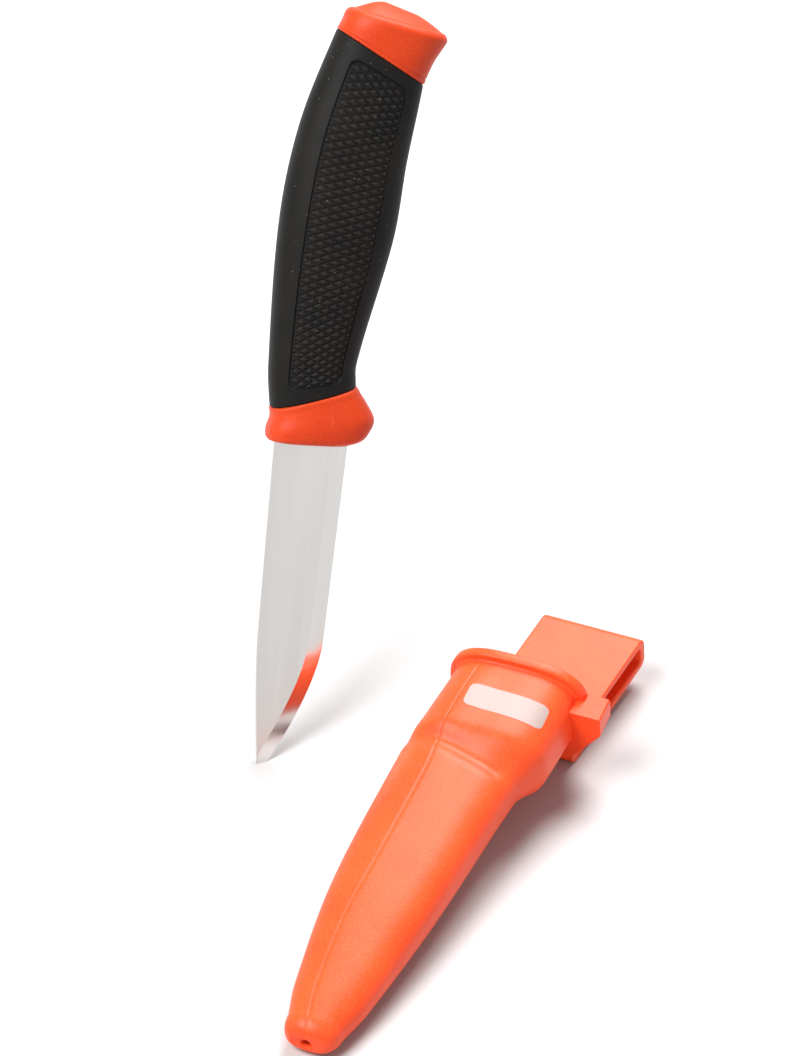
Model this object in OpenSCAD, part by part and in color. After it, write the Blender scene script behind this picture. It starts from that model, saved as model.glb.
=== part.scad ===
// Fixed craft knife, stuck by its point, with its moulded belt sheath lying beside it.
// The knife and the sheath are each drawn in a frame of their own and then placed.
// Knife frame: X from spine to cutting edge, Y through the thickness, Z from guard face to pommel.
// Sheath frame: X across the front, Y from front to back, Z out of the mouth.

/* [Blade] */
// Length from the guard face to the point
blade_length = 100; // [85:1:115]
// Width at the guard
blade_width = 21.4; // [18:0.2:23]
// Thickness of the steel
blade_thickness = 2.5; // [2:0.1:3.2]
// Width lost between guard and the start of the curved edge
blade_taper = 2; // [0:0.1:3]
// Length of edge that curves up to the point
curve_length = 43; // [35:1:50]
// Distance of the point from the blade's middle line, towards the spine
point_offset = 5.5; // [3:0.5:7]
// Width of the ground bevel
bevel_width = 4.4; // [3:0.1:6]
// Thickness left at the cutting edge
edge_thickness = 0.2; // [0.1:0.05:0.4]
// Length of the tang inside the handle
tang_length = 92; // [70:1:100]
// Width of the tang
tang_width = 9; // [7:0.5:11]

/* [Handle] */
// Length of the guard along its middle line
guard_length = 13.2; // [11:0.1:15]
// Width of the guard
guard_width = 31; // [29:0.2:33]
// How far the guard's middle lies towards the edge
guard_reach = 2; // [1:0.1:3]
// Thickness of the guard
guard_thickness = 21; // [19:0.2:23]
// Slope of the joint between guard and grip
guard_joint_tilt = 19; // [10:1:24]
// Width of the grip at the guard
neck_width = 25.4; // [23:0.2:28]
// Thickness of the grip at the guard
neck_thickness = 19.5; // [17:0.2:21]
// Place of the widest part of the grip
belly_place = 62; // [50:1:70]
// Width of the grip at its widest
belly_width = 33.2; // [30:0.2:36]
// Thickness of the grip at its widest
belly_thickness = 24; // [21:0.2:27]
// Place of the joint between grip and pommel
tail_place = 111.6; // [102:0.2:118]
// Width of the grip at the pommel
tail_width = 29.2; // [27:0.2:32]
// Thickness of the grip at the pommel
tail_thickness = 21.5; // [19:0.2:24]
// How far the joint at the pommel lies towards the edge
tail_droop = 8.2; // [4:0.2:11]
// Slope of the joint between grip and pommel
tail_tilt = -27.5; // [-32:0.5:-15]
// Length of the pommel along its middle line
pommel_length = 10.8; // [8:0.2:14]
// Width of the pommel's end
pommel_width = 30.2; // [28:0.2:34]
// Thickness of the pommel's end
pommel_thickness = 23; // [21:0.2:26]
// Thickness of the soft sleeve
sleeve_wall = 3; // [2:0.1:4]
// Gap left between bonded mouldings
bond_gap = 0.05; // [0.02:0.01:0.1]

/* [Grip panel] */
// Share of the grip's width that the sunk panel takes
panel_share = 0.61; // [0.5:0.01:0.66]
// Plain grip left between the panel and each joint
panel_margin = 4; // [3:0.1:8]
// Depth of the sunk panel
panel_depth = 0.6; // [0.5:0.05:0.9]
// Height of the raised diamonds
diamond_height = 0.5; // [0.2:0.05:0.5]
// Length of a diamond along the grip
diamond_length = 2.34; // [2:0.01:3.2]
// Half diamonds across the panel
diamond_columns = 8; // [6:2:10]

/* [Sheath] */
// Length from rim to tip
sheath_length = 138; // [134:1:160]
// Wall of the sheath
sheath_wall = 2; // [1.6:0.1:2.6]
// Room between the guard and the pocket wall
pocket_clearance = 0.6; // [0.4:0.1:1.2]
// Depth of the guard's seat below the rim
seat_depth = 29; // [26:0.5:34]
// Room between the cutting edge and the pocket wall
edge_room = 1.8; // [0.8:0.1:3]
// Room between the blade's spine and the pocket wall
spine_room = 6.3; // [1:0.1:7]
// Slant of the pocket from square with the rim, towards the spine side
pocket_slant = 3.15; // [0:0.05:4]
// How far the rim stands out
rim_lip = 2.1; // [1.2:0.1:3]
// Height of the rim
rim_height = 3.2; // [2.4:0.1:5]
// Width of the outer tip
tip_width = 16.5; // [13:0.5:18]
// Thickness of the outer tip
tip_thickness = 12; // [10:0.5:14]
// How far the tip's middle lies from the blade's point, towards the edge side
tip_lead = 4.9; // [0:0.1:6]
// Diameter of the drain hole
drain_diameter = 3.2; // [2:0.1:5]

/* [Belt loop] */
// Widest belt that passes
belt_width = 40; // [32:1:48]
// Gap for the belt's thickness
belt_gap = 6.5; // [5:0.1:9]
// Thickness of the loop's plates
loop_plate = 2.5; // [2:0.1:3.5]
// Width of the loop
loop_width = 31; // [24:0.5:36]
// How far the loop's middle lies beside the mouth's middle, at the rim
loop_offset = 1.2; // [-2:0.1:4]
// Slant of the loop's sides towards the edge side
loop_slant = 7.5; // [0:0.5:12]
// Height of the belt space above the rim
loop_rise = 39; // [30:0.5:44]
// Height of the lug that braces the loop
lug_height = 8.4; // [6:0.2:14]
// How far the lug stands out beside the pocket
lug_reach = 8.1; // [5:0.1:10]
// Thickness of the lug's outer edge
lug_edge = 6.8; // [4:0.2:10]

/* [Placing] */
// Depth that the point is stuck in
point_sink = 5; // [2:0.5:10]
// Lean of the knife from upright
knife_lean = 30; // [0:0.5:40]
// Direction of the lean, from X towards Y
knife_lean_towards = 100; // [0:1:120]
// Turn of the knife about its own length
knife_turn = 29; // [0:1:90]
// Distance of the sheath beside the knife
sheath_beside = 68; // [60:1:100]
// Distance of the sheath's tip in front of the knife
sheath_before = 97; // [60:1:160]

/* [Hidden] */

ring_sides = 44;
grip_rings = 22;
sheath_rings = 22;
edge_points = 18;
overlap = 1;
steel_colour = "silver";
orange_colour = [0.93, 0.30, 0.13];
rubber_colour = [0.17, 0.165, 0.16];

// Smooth curve through [place, value] pairs, the value a number or a vector
function slope(t, i) =
    let (a = max(i - 1, 0), b = min(i + 1, len(t) - 1))
    (t[b][1] - t[a][1]) / (t[b][0] - t[a][0]);
function segment(t, s, i = 0) = i >= len(t) - 2 || s < t[i + 1][0] ? i : segment(t, s, i + 1);
function curve(t, s) =
    let (
        i = segment(t, s),
        h = t[i + 1][0] - t[i][0],
        u = min(max((s - t[i][0]) / h, 0), 1)
    )
    t[i][1] * (1 + 2 * u) * pow(1 - u, 2) + t[i + 1][1] * u * u * (3 - 2 * u)
        + slope(t, i) * h * u * pow(1 - u, 2) - slope(t, i + 1) * h * u * u * (1 - u);
function spaced(a, b, n) = [for (i = [0:n]) a + (b - a) * i / n];
function reversed(t) = [for (i = [len(t) - 1:-1:0]) t[i]];

// Rounded oval, squarer as its power grows
function bend(v, power) = sign(v) * pow(abs(v), 2 / power);
function oval(half_x, half_y, power) =
    [for (k = [0:ring_sides - 1])
        let (a = 360 * (k + 0.5) / ring_sides)
        [half_x * bend(cos(a), power), half_y * bend(sin(a), power)]];

// Skin over a row of rings from low to high, closed on itself or ended by a fan at each end
module skin(rings, looped = false) {
    n = len(rings[0]);
    m = len(rings);
    last = looped ? m - 1 : m - 2;
    middle = [for (r = [rings[0], rings[m - 1]]) [for (v = [0:2]) centre_of(r, v)]];
    walls = [for (i = [0:last], k = [0:n - 1])
        let (low = i * n, high = (i + 1) % m * n, next = (k + 1) % n)
        each [[low + k, high + next, low + next], [low + k, high + k, high + next]]];
    ends = looped ? [] : [for (k = [0:n - 1])
        each [[n * m, k, (k + 1) % n], [n * m + 1, n * (m - 1) + (k + 1) % n, n * (m - 1) + k]]];
    points = [for (r = rings) each r];
    polyhedron(looped ? points : concat(points, middle), concat(walls, ends), convexity = 8);
}
function centre_of(r, v) = [for (p = r) 1] * [for (p = r) p[v]] / len(r);

// Side of the blade: spine and edge for a distance below the guard
straight_length = blade_length - curve_length;
half_root = blade_width / 2;
half_end = half_root - blade_taper / 2;
edge_turn = [half_end, straight_length + 0.34 * curve_length];
function quad(a, b, c, u) = a * pow(1 - u, 2) + b * 2 * u * (1 - u) + c * u * u;
function curve_at(d) =
    let (
        a = straight_length - 2 * edge_turn[1] + blade_length,
        b = edge_turn[1] - straight_length
    )
    (sqrt(b * b + a * (d - straight_length)) - b) / a;
function edge_x(d) = d < straight_length
    ? half_root - blade_taper / 2 * max(d, 0) / straight_length
    : quad(half_end, edge_turn[0], -point_offset, curve_at(d));
function spine_x(d) = d < straight_length
    ? -half_root + blade_taper / 2 * max(d, 0) / straight_length
    : -half_end + (half_end - point_offset) * pow((d - straight_length) / curve_length, 1.4);

// Handle sections: place, then [middle x, slope, half width, half thickness, power]
soft_power = 2.5;
guard_power = 3;
root_half = guard_width / 2 - 4.6;
neck_place = guard_length + 9;
guard_sections = [
    [0, [0.2, 2, root_half, guard_thickness / 2 - 3, guard_power]],
    [0.9, [0.8, 4, root_half + 2.6, guard_thickness / 2 - 1.1, guard_power]],
    [2.6, [1.4, 6, guard_width / 2 - 0.7, guard_thickness / 2 - 0.3, guard_power]],
    [5.8, [guard_reach, 9.5, guard_width / 2, guard_thickness / 2, guard_power]],
    [9.4, [guard_reach / 2, 14.5, (guard_width + neck_width) / 4,
        (guard_thickness + neck_thickness) / 4, 2.8]],
    [guard_length, [-0.9, guard_joint_tilt, neck_width / 2, neck_thickness / 2, soft_power]]
];
grip_sections = [
    [guard_length, [-0.9, guard_joint_tilt, neck_width / 2, neck_thickness / 2, soft_power]],
    [neck_place, [-1.9, 8, neck_width / 2, neck_thickness / 2 + 0.3, soft_power]],
    [belly_place, [0.11 * tail_droop, -4, belly_width / 2, belly_thickness / 2, soft_power]],
    [(belly_place + tail_place) / 2, [0.38 * tail_droop, -12, (belly_width + tail_width) / 4 + 0.6,
        (belly_thickness + tail_thickness) / 4 + 0.3, soft_power]],
    [tail_place, [tail_droop, tail_tilt, tail_width / 2, tail_thickness / 2, soft_power]]
];
pommel_end = tail_place + pommel_length;
end_tilt = tail_tilt + 17;
end_droop = tail_droop + 3.6;
end_round = 2.2;
pommel_sections = [
    [tail_place, [tail_droop, tail_tilt, tail_width / 2, tail_thickness / 2, soft_power]],
    [tail_place + 0.45 * pommel_length, [(tail_droop + end_droop) / 2, (tail_tilt + end_tilt) / 2,
        tail_width / 2 - 0.3, (tail_thickness + pommel_thickness) / 4, 2.8]],
    [pommel_end - end_round, [end_droop, end_tilt, pommel_width / 2, pommel_thickness / 2, soft_power]]
];

// One ring of the handle, drawn in by inset and raised along its own slope
function handle_ring(table, s, inset = 0, lift = 0, roof = 0) =
    let (v = curve(table, s), peak = -0.55 * v[2])
    [for (q = oval(v[2] - inset, v[3] - inset, v[4]))
        let (rise = lift + roof * (1 - abs(q[0] - peak) / (q[0] < peak ? v[2] + peak : v[2] - peak)))
        [v[0] + q[0] * cos(v[1]) - rise * sin(v[1]), q[1], s + q[0] * sin(v[1]) + rise * cos(v[1])]];
roof_height = 2.4;
dome_height = 1.8;
dome_inset = pommel_thickness / 2 - end_round - 1.5;
function grip_places(trim) = spaced(guard_length + trim, tail_place - trim, grip_rings);

module blade_body(gap = 0) {
    seat = guard_length / 2;
    tip_gap = 0.35;
    strip = 0.3;
    places = concat([-seat, 0], spaced(2, straight_length, 5),
        [for (u = spaced(0, 1, edge_points)) if (u > 0) straight_length
            + (curve_length - tip_gap) * (1 - pow(1 - u, 1.5))]);
    skin([for (d = reversed(places))
        let (
            left = spine_x(d) - gap,
            right = edge_x(d) + gap,
            bevel = d <= 0 ? 0.5 : bevel_width,
            line = max(right - bevel, left + strip * min(1, (right - left) / 2)),
            full = blade_thickness / 2 + gap,
            keen = d <= 0 ? full : edge_thickness / 2,
            thick = d <= 0 ? full : keen + (full - keen) * min(1, (right - line) / bevel)
        )
        [[left, -thick, -d], [line, -thick, -d], [right, -keen, -d],
            [right, keen, -d], [line, thick, -d], [left, thick, -d]]]);
}

module tang(gap = 0) {
    start = guard_length / 2 - overlap;
    translate([-tang_width / 2 - gap, -blade_thickness / 2 - gap, start])
        cube([tang_width + 2 * gap, blade_thickness + 2 * gap, tang_length - start + gap]);
}

module blade() {
    color(steel_colour) place_knife() {
        blade_body();
        tang();
    }
}

module handle_core() {
    guard_places = concat([0, 0.45, 0.9, 1.7], spaced(2.6, guard_length, 6));
    pommel_places = spaced(tail_place, pommel_end - end_round, 5);
    neck_inset = sleeve_wall + bond_gap;
    seat_half = half_root + bond_gap;
    color(orange_colour) place_knife() difference() {
        skin(concat(
            [for (s = guard_places) handle_ring(guard_sections, s)],
            [for (s = grip_places(0)) handle_ring(grip_sections, s, neck_inset)],
            [for (s = pommel_places) handle_ring(pommel_sections, s)],
            [for (a = [30:30:90]) handle_ring(pommel_sections, pommel_end - end_round,
                end_round * (1 - cos(a)), end_round * sin(a))],
            [for (u = [0.25:0.25:1]) handle_ring(pommel_sections, pommel_end - end_round,
                end_round + dome_inset * u, end_round + dome_height * u * (2 - u), roof_height * u)]
        ));
        tang(bond_gap);
        translate([-seat_half, -blade_thickness / 2 - bond_gap, -overlap])
            cube([2 * seat_half, blade_thickness + 2 * bond_gap, guard_length / 2 + overlap + bond_gap]);
    }
}

module grip_sleeve() {
    color(rubber_colour) place_knife() difference() {
        skin(concat(
            [for (s = grip_places(bond_gap)) handle_ring(grip_sections, s)],
            [for (i = [grip_rings:-1:0]) handle_ring(grip_sections, grip_places(bond_gap)[i], sleeve_wall)]
        ), looped = true);
        panel_tool();
        mirror([0, 1, 0]) panel_tool();
    }
}

// Point over the front of the grip, a share of its half width from the middle
function grip_point(s, share, rise) =
    let (v = curve(grip_sections, s), deep = v[3] * pow(1 - pow(abs(share), v[4]), 1 / v[4]))
    [v[0] + share * v[2] * cos(v[1]), -deep - rise, s + share * v[2] * sin(v[1])];

// Block that sinks the panel into the front of the grip and leaves its diamonds standing
module panel_tool() {
    tool_rise = 2;
    from = guard_length + panel_margin;
    to = tail_place - panel_margin;
    rows = 2 * round((to - from) / diamond_length);
    places = spaced(from, to, rows);
    shares = spaced(-panel_share, panel_share, diamond_columns);
    n = diamond_columns + 1;
    top = n * (rows + 1);
    under = [for (i = [0:rows], j = [0:diamond_columns])
        grip_point(places[i], shares[j], (i + j) % 2 * diamond_height - panel_depth)];
    over = [for (i = [0:rows], j = [0:diamond_columns]) grip_point(places[i], shares[j], tool_rise)];
    faces = [for (i = [0:rows - 1], j = [0:diamond_columns - 1])
        let (a = i * n + j, b = a + 1, c = a + n + 1, d = a + n)
        each concat(
            (i + j) % 2 == 0 ? [[a, b, c], [a, c, d]] : [[a, b, d], [b, c, d]],
            [[top + a, top + d, top + c], [top + a, top + c, top + b]]
        )];
    low_high = [for (j = [0:diamond_columns - 1])
        let (a = j, b = j + 1, c = rows * n + j, d = c + 1)
        each [[b, a, top + a], [b, top + a, top + b], [c, d, top + d], [c, top + d, top + c]]];
    sides = [for (i = [0:rows - 1])
        let (a = i * n, b = a + n, c = a + diamond_columns, d = c + n)
        each [[a, b, top + b], [a, top + b, top + a], [d, c, top + c], [d, top + c, top + d]]];
    polyhedron(concat(under, over), concat(faces, low_high, sides), convexity = 10);
}

// Seat of the knife: the grip above the rim bounds the pocket on the spine side, the guard on the edge side
grip_at_rim = curve(grip_sections, seat_depth + rim_height);
seat_left = grip_at_rim[0] - grip_at_rim[2];
seat_right = guard_reach + guard_width / 2;
seat_shift = (seat_left + seat_right) / 2;
seat_lead = 4;
shoulder = seat_depth + 8;
pocket_draft = 0.3;
pocket_swell = 0.9;
pocket_half = (seat_right - seat_left) / 2 + pocket_clearance + sheath_wall;
pocket_deep = max(guard_thickness / 2, grip_at_rim[3]) + pocket_clearance + sheath_wall;
slot_half = half_root + (edge_room + spine_room) / 2 + sheath_wall;
slot_middle = -seat_shift + (edge_room - spine_room) / 2;
slot_deep = pocket_deep - 2.8;
slot_taper = 2.4;
thin_taper = 1.4;
tip_middle = -seat_shift - point_offset + tip_lead;
tip_round = 6;

// Sheath sections: depth below the rim, then [middle x, half width, half thickness, power]
tip_lead_in = 8;
shell_power = 3;
slot_power = 2.7;
tip_power = 2.4;
body_sections = [
    [0, [0, pocket_half, pocket_deep, shell_power]],
    [seat_depth - seat_lead, [-pocket_swell, pocket_half + pocket_swell - pocket_draft,
        pocket_deep - pocket_draft, shell_power]],
    [shoulder, [slot_middle, slot_half + slot_taper / 2, slot_deep, slot_power]],
    [seat_depth + straight_length, [slot_middle, slot_half - slot_taper / 2,
        slot_deep - thin_taper, slot_power]],
    [seat_depth + blade_length - tip_lead_in, [tip_middle - 0.4, tip_width / 2 + 2.8,
        tip_thickness / 2 + 0.9, tip_power]],
    [sheath_length - tip_round, [tip_middle, tip_width / 2, tip_thickness / 2, tip_power]]
];

// The rings slide towards the spine side with their depth
function slanted(x, depth) = x - tan(pocket_slant) * depth;
function sheath_ring(depth, inset = 0, drop = 0) =
    let (v = curve(body_sections, depth), x = slanted(v[0], depth + drop))
    [for (q = oval(v[1] - inset, v[2] - inset, v[3])) [x + q[0], q[1], -depth - drop]];
rim_round = 0.7;
rim_rings = [[0, -rim_lip + rim_round], [rim_round, -rim_lip], [rim_height - rim_round, -rim_lip],
    [rim_height, -rim_lip + rim_round], [rim_height + 0.4, 0]];
body_depths = spaced(rim_height + 1.5, sheath_length - tip_round, sheath_rings);
hollow_depths = spaced(0, sheath_length - tip_round, sheath_rings);
tip_steps = [20, 40, 60, 75];
tip_inset = tip_thickness / 2 - 1.8;

// Outside of the sheath, grown by a gap, and its whole wall
function outside_rings(gap = 0) = concat(
    [for (r = rim_rings) sheath_ring(r[0], r[1] - gap)],
    [for (d = body_depths) sheath_ring(d, -gap)],
    [for (a = tip_steps) sheath_ring(sheath_length - tip_round, tip_inset * (1 - cos(a)) - gap,
        tip_round * sin(a) / sin(tip_steps[3]))]
);

module sheath_shell() {
    color(orange_colour) place_sheath() difference() {
        skin(concat(
            reversed(outside_rings()),
            [for (d = hollow_depths) sheath_ring(d, sheath_wall)],
            [sheath_ring(sheath_length - tip_round, sheath_wall + tip_inset / 2, tip_round - sheath_wall)]
        ));
        translate([slanted(tip_middle, sheath_length), 0, -sheath_length - overlap])
            cylinder(d = drain_diameter, h = tip_round + overlap, $fn = 48);
    }
}

// Belt loop: front plate against the sheath's back, belt space, and rear plate
plate_front = pocket_deep - 1;
space_front = plate_front + loop_plate;
space_back = space_front + belt_gap;
loop_back = space_back + loop_plate;
loop_low = loop_rise - belt_width;
loop_round = 3;
space_round = 1.5;
lug_front = -0.46 * pocket_deep;
lug_side = pocket_half + lug_reach;
lug_round = 1.5;

// Rectangle from the corner at zero, with round corners
module round_plate(size, radius) {
    translate([0, radius]) square([size[0], size[1] - 2 * radius]);
    translate([radius, 0]) square([size[0] - 2 * radius, size[1]]);
    for (x = [radius, size[0] - radius], y = [radius, size[1] - radius])
        translate([x, y]) circle(r = radius, $fn = 40);
}

module loop_side() {
    difference() {
        translate([plate_front, loop_low - loop_plate])
            round_plate([loop_back - plate_front, belt_width + 2 * loop_plate], loop_round);
        translate([space_front, loop_low]) round_plate([belt_gap, belt_width], space_round);
    }
}

// Lug seen from above the mouth: it runs from the loop's front plate to the side of the pocket
module lug_outline() {
    loop_half = loop_width / 2;
    offset(r = lug_round, $fn = 40) offset(delta = -lug_round)
        polygon([[loop_offset - loop_half, space_front], [loop_offset - loop_half, lug_front],
            [lug_side, lug_front], [lug_side, lug_front + lug_edge], [loop_offset + loop_half, space_front]]);
}

module belt_loop() {
    color(orange_colour) place_sheath() difference() {
        union() {
            multmatrix([[1, 0, tan(loop_slant), loop_offset], [0, 1, 0, 0], [0, 0, 1, 0]])
                translate([loop_width / 2, 0, 0]) rotate([90, 0, -90]) mirror([1, 0, 0])
                    linear_extrude(loop_width) loop_side();
            translate([0, 0, -lug_height]) linear_extrude(lug_height) lug_outline();
        }
        skin(reversed(outside_rings(bond_gap)));
    }
}

// The blade is held where it enters the surface at height zero
module place_knife() {
    hold_depth = blade_length - point_sink;
    hold_x = (spine_x(hold_depth) + edge_x(hold_depth)) / 2;
    rotate([0, 0, knife_lean_towards]) rotate([0, knife_lean, 0])
        rotate([0, 0, knife_turn - knife_lean_towards]) translate([-hold_x, 0, hold_depth]) children();
}

// The sheath lies on its back, on its tip and on the lower edge of the loop
rest_back = loop_back;
rest_depth = -loop_low + loop_plate - loop_round;
tip_rest = sheath_length - tip_round;
sheath_pitch = atan((rest_back - tip_thickness / 2) / (tip_rest - rest_depth));
module place_sheath() {
    translate([sheath_beside, -sheath_before, 0]) rotate([sheath_pitch - 90, 0, 0])
        translate([0, -tip_thickness / 2, tip_rest]) children();
}

blade();
handle_core();
grip_sleeve();
sheath_shell();
belt_loop();
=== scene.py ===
import math
import random

import bpy
import numpy as np
from mathutils import Matrix, Vector


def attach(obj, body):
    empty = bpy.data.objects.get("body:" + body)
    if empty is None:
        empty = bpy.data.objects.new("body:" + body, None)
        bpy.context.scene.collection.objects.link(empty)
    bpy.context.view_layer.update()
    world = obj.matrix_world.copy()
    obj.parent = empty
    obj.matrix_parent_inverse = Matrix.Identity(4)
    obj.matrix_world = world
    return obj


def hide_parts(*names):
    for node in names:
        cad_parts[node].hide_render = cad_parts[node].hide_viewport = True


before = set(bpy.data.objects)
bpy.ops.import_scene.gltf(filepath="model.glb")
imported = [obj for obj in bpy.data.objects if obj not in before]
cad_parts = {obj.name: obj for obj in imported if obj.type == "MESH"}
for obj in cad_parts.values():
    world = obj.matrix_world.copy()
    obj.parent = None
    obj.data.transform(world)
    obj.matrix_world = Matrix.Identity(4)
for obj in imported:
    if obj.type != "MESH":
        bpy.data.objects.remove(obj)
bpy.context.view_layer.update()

# Sizes in millimetres, as the solids have them.
# Knife frame: x from spine to cutting edge, y through the thickness, z from guard face to pommel.
# Sheath frame: x across the front, y from front to back, z out of the mouth.
BLADE_LENGTH, BLADE_WIDTH, BLADE_THICKNESS, BLADE_TAPER = 100, 21.4, 2.5, 2
CURVE_LENGTH, POINT_OFFSET, BEVEL_WIDTH = 43, 5.5, 4.4
BEND_SHARE, SPINE_POWER = 0.34, 1.4
STRAIGHT_LENGTH = BLADE_LENGTH - CURVE_LENGTH
POINT_SINK = 5
KNIFE_LEAN, LEAN_TOWARDS, KNIFE_TURN = 30, 100, 29
GUARD_LENGTH, GUARD_WIDTH, GUARD_REACH, GUARD_THICKNESS, GUARD_TILT = 13.2, 31, 2, 21, 19
NECK_WIDTH, NECK_THICKNESS = 25.4, 19.5
BELLY_PLACE, BELLY_WIDTH, BELLY_THICKNESS = 62, 33.2, 24
TAIL_PLACE, TAIL_WIDTH, TAIL_THICKNESS, TAIL_DROOP, TAIL_TILT = 111.6, 29.2, 21.5, 8.2, -27.5
POMMEL_LENGTH, POMMEL_WIDTH, POMMEL_THICKNESS, END_ROUND, ROOF_HEIGHT = 10.8, 30.2, 23, 2.2, 2.4
DOME_INSET, DOME_HEIGHT = POMMEL_THICKNESS / 2 - END_ROUND - 1.5, 1.8
RIDGE_SHARE, RIDGE_ROUND, RIDGE_LIFT = 0.55, 0.8, 0.5
SLEEVE_WALL, GUARD_POWER, JOINT_POWER, GRIP_POWER = 3, 3, 2.8, 2.5
PANEL_MARGIN, PANEL_SHARE, PANEL_FLOOR, PANEL_CORNER = 4, 0.61, 0.6, 2.6
DIAMOND_LENGTH, DIAMOND_COLUMNS = 2.34, 8
SHEATH_LENGTH, SHEATH_WALL, SEAT_DEPTH, TIP_ROUND = 138, 2, 29, 6
RIM_LIP, RIM_HEIGHT, RIM_ROUND = 2.1, 3.2, 0.75
TIP_WIDTH, TIP_THICKNESS, DRAIN_RADIUS = 16.5, 12, 1.6
TIP_REST, TIP_INSET = SHEATH_LENGTH - TIP_ROUND, TIP_THICKNESS / 2 - 1.8
SHEATH_BESIDE, SHEATH_BEFORE = 68, 97
POCKET_CLEARANCE, EDGE_ROOM, SPINE_ROOM, TIP_LEAD = 0.6, 1.8, 6.3, 4.9
POCKET_SLANT, POCKET_SWELL, POCKET_DRAFT = math.tan(math.radians(3.15)), 0.9, 0.3
SLOT_TAPER, THIN_TAPER = 2.4, 1.4
LOOP_OFFSET, LOOP_WIDTH, LOOP_PLATE, LOOP_RISE = 1.2, 31, 2.5, 39
BELT_WIDTH, BELT_GAP = 40, 6.5
LOOP_SLANT, LOOP_CORNER, SLOT_CORNER = math.tan(math.radians(7.5)), 3, 1.5
LUG_REACH, LUG_HEIGHT, LUG_EDGE, LUG_FRONT_SHARE = 8.09, 8.4, 6.8, 0.46
SLOT_STEP, PLATE_LAP, LUG_LAP = 2.8, 1, 1

# Forms of the sheath that the solids don't have: a seam, a slight keel, a slanted fold and a badge
SEAM_DEPTH, KEEL_RISE, KEEL_HALF = 0.22, 0.06, 9
FOLD_PLACE, FOLD_SLANT, FOLD_DEPTH, FOLD_WIDTH = 34.8, 0.23, 1.05, 2.5
BADGE_LOW, BADGE_HIGH, BADGE_CORNER, BADGE_LIFT = (-10, 12.7), (13.8, 21), 1.8, 0.05
# Finer rings than the solids have are drawn in by this much, to stay inside them
HAIR = 0.06


def turn(degrees, axis):
    return Matrix.Rotation(math.radians(degrees), 4, axis)


def shift(x, y, z):
    return Matrix.Translation(Vector((x, y, z)) * 0.001)


# Curves and sections

def curve(table, place):
    """Smooth curve through (place, values) rows, the same as the solids follow."""
    last = len(table) - 1
    i = 0
    while i < last - 1 and place >= table[i + 1][0]:
        i += 1

    def slope(j):
        a, b = max(j - 1, 0), min(j + 1, last)
        return (table[b][1] - table[a][1]) / (table[b][0] - table[a][0])

    step = table[i + 1][0] - table[i][0]
    u = min(max((place - table[i][0]) / step, 0), 1)
    return (table[i][1] * (1 + 2 * u) * (1 - u) ** 2 + table[i + 1][1] * u * u * (3 - 2 * u)
            + slope(i) * step * u * (1 - u) ** 2 - slope(i + 1) * step * u * u * (1 - u))


def sections(*rows):
    return [(place, np.array(values, float)) for place, *values in rows]


def power_of(value, power):
    return np.sign(value) * np.abs(value) ** (2 / power)


def oval(half_x, half_y, power, angles):
    return np.stack([half_x * power_of(np.cos(angles), power),
                     half_y * power_of(np.sin(angles), power)], axis=1)


def soft_step(low, high, value):
    t = np.clip((value - low) / (high - low), 0, 1)
    return t * t * (3 - 2 * t)


# Meshes

def strip_faces(rows, columns, start=0, around=True):
    """Quads between neighbouring rows of a vertex grid."""
    last = columns if around else columns - 1
    return [(start + r * columns + c, start + r * columns + (c + 1) % columns,
             start + (r + 1) * columns + (c + 1) % columns, start + (r + 1) * columns + c)
            for r in range(rows - 1) for c in range(last)]


class Shape:
    """Vertices in millimetres and faces with a finish number, gathered piece by piece."""

    def __init__(self):
        self.points, self.faces, self.finishes = [], [], []

    def grid(self, rows, around=True, finish=0, first_cap=False, last_cap=False):
        start, columns = len(self.points), len(rows[0])
        for row in rows:
            self.points.extend(map(tuple, row))
        faces = strip_faces(len(rows), columns, start, around)
        for wanted, r in ((first_cap, 0), (last_cap, len(rows) - 1)):
            if wanted:
                centre = len(self.points)
                self.points.append(tuple(np.mean(rows[r], axis=0)))
                ring = [start + r * columns + c for c in range(columns)]
                pairs = [(ring[c], ring[(c + 1) % columns]) for c in range(columns)]
                faces += [(centre, b, a) if r == 0 else (centre, a, b) for a, b in pairs]
        self.faces += faces
        self.finishes += [finish] * len(faces)

    def face(self, corners, finish=0):
        start = len(self.points)
        self.points.extend(map(tuple, corners))
        self.faces.append(tuple(range(start, start + len(corners))))
        self.finishes.append(finish)

    def piece(self, name, placing, body, materials, sharp=40, nodes=()):
        mesh = bpy.data.meshes.new(name)
        own = [Vector(p) * 0.001 for p in self.points]
        mesh.from_pydata([placing @ p for p in own], [], self.faces)
        mesh.attributes.new("own_place", "FLOAT_VECTOR", "POINT").data.foreach_set(
            "vector", [v for p in own for v in p])
        for material in materials:
            mesh.materials.append(material)
        mesh.polygons.foreach_set("material_index", self.finishes)
        mesh.update()
        mesh.shade_smooth()
        mesh.set_sharp_from_angle(angle=math.radians(sharp))
        thing = bpy.data.objects.new(name, mesh)
        bpy.context.scene.collection.objects.link(thing)
        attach(thing, body)
        if nodes:
            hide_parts(*nodes)
        return thing


# Finishes

class Value:
    """A shader socket that adds Math nodes when it is used in a sum or a product."""

    def __init__(self, finish, socket):
        self.finish, self.socket = finish, socket

    def math(self, operation, first, second):
        return self.finish.node("ShaderNodeMath", {"operation": operation}, {0: first, 1: second})

    def __add__(self, other):
        return self.math("ADD", self, other)

    def __mul__(self, other):
        return self.math("MULTIPLY", self, other)

    __radd__, __rmul__ = __add__, __mul__


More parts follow.
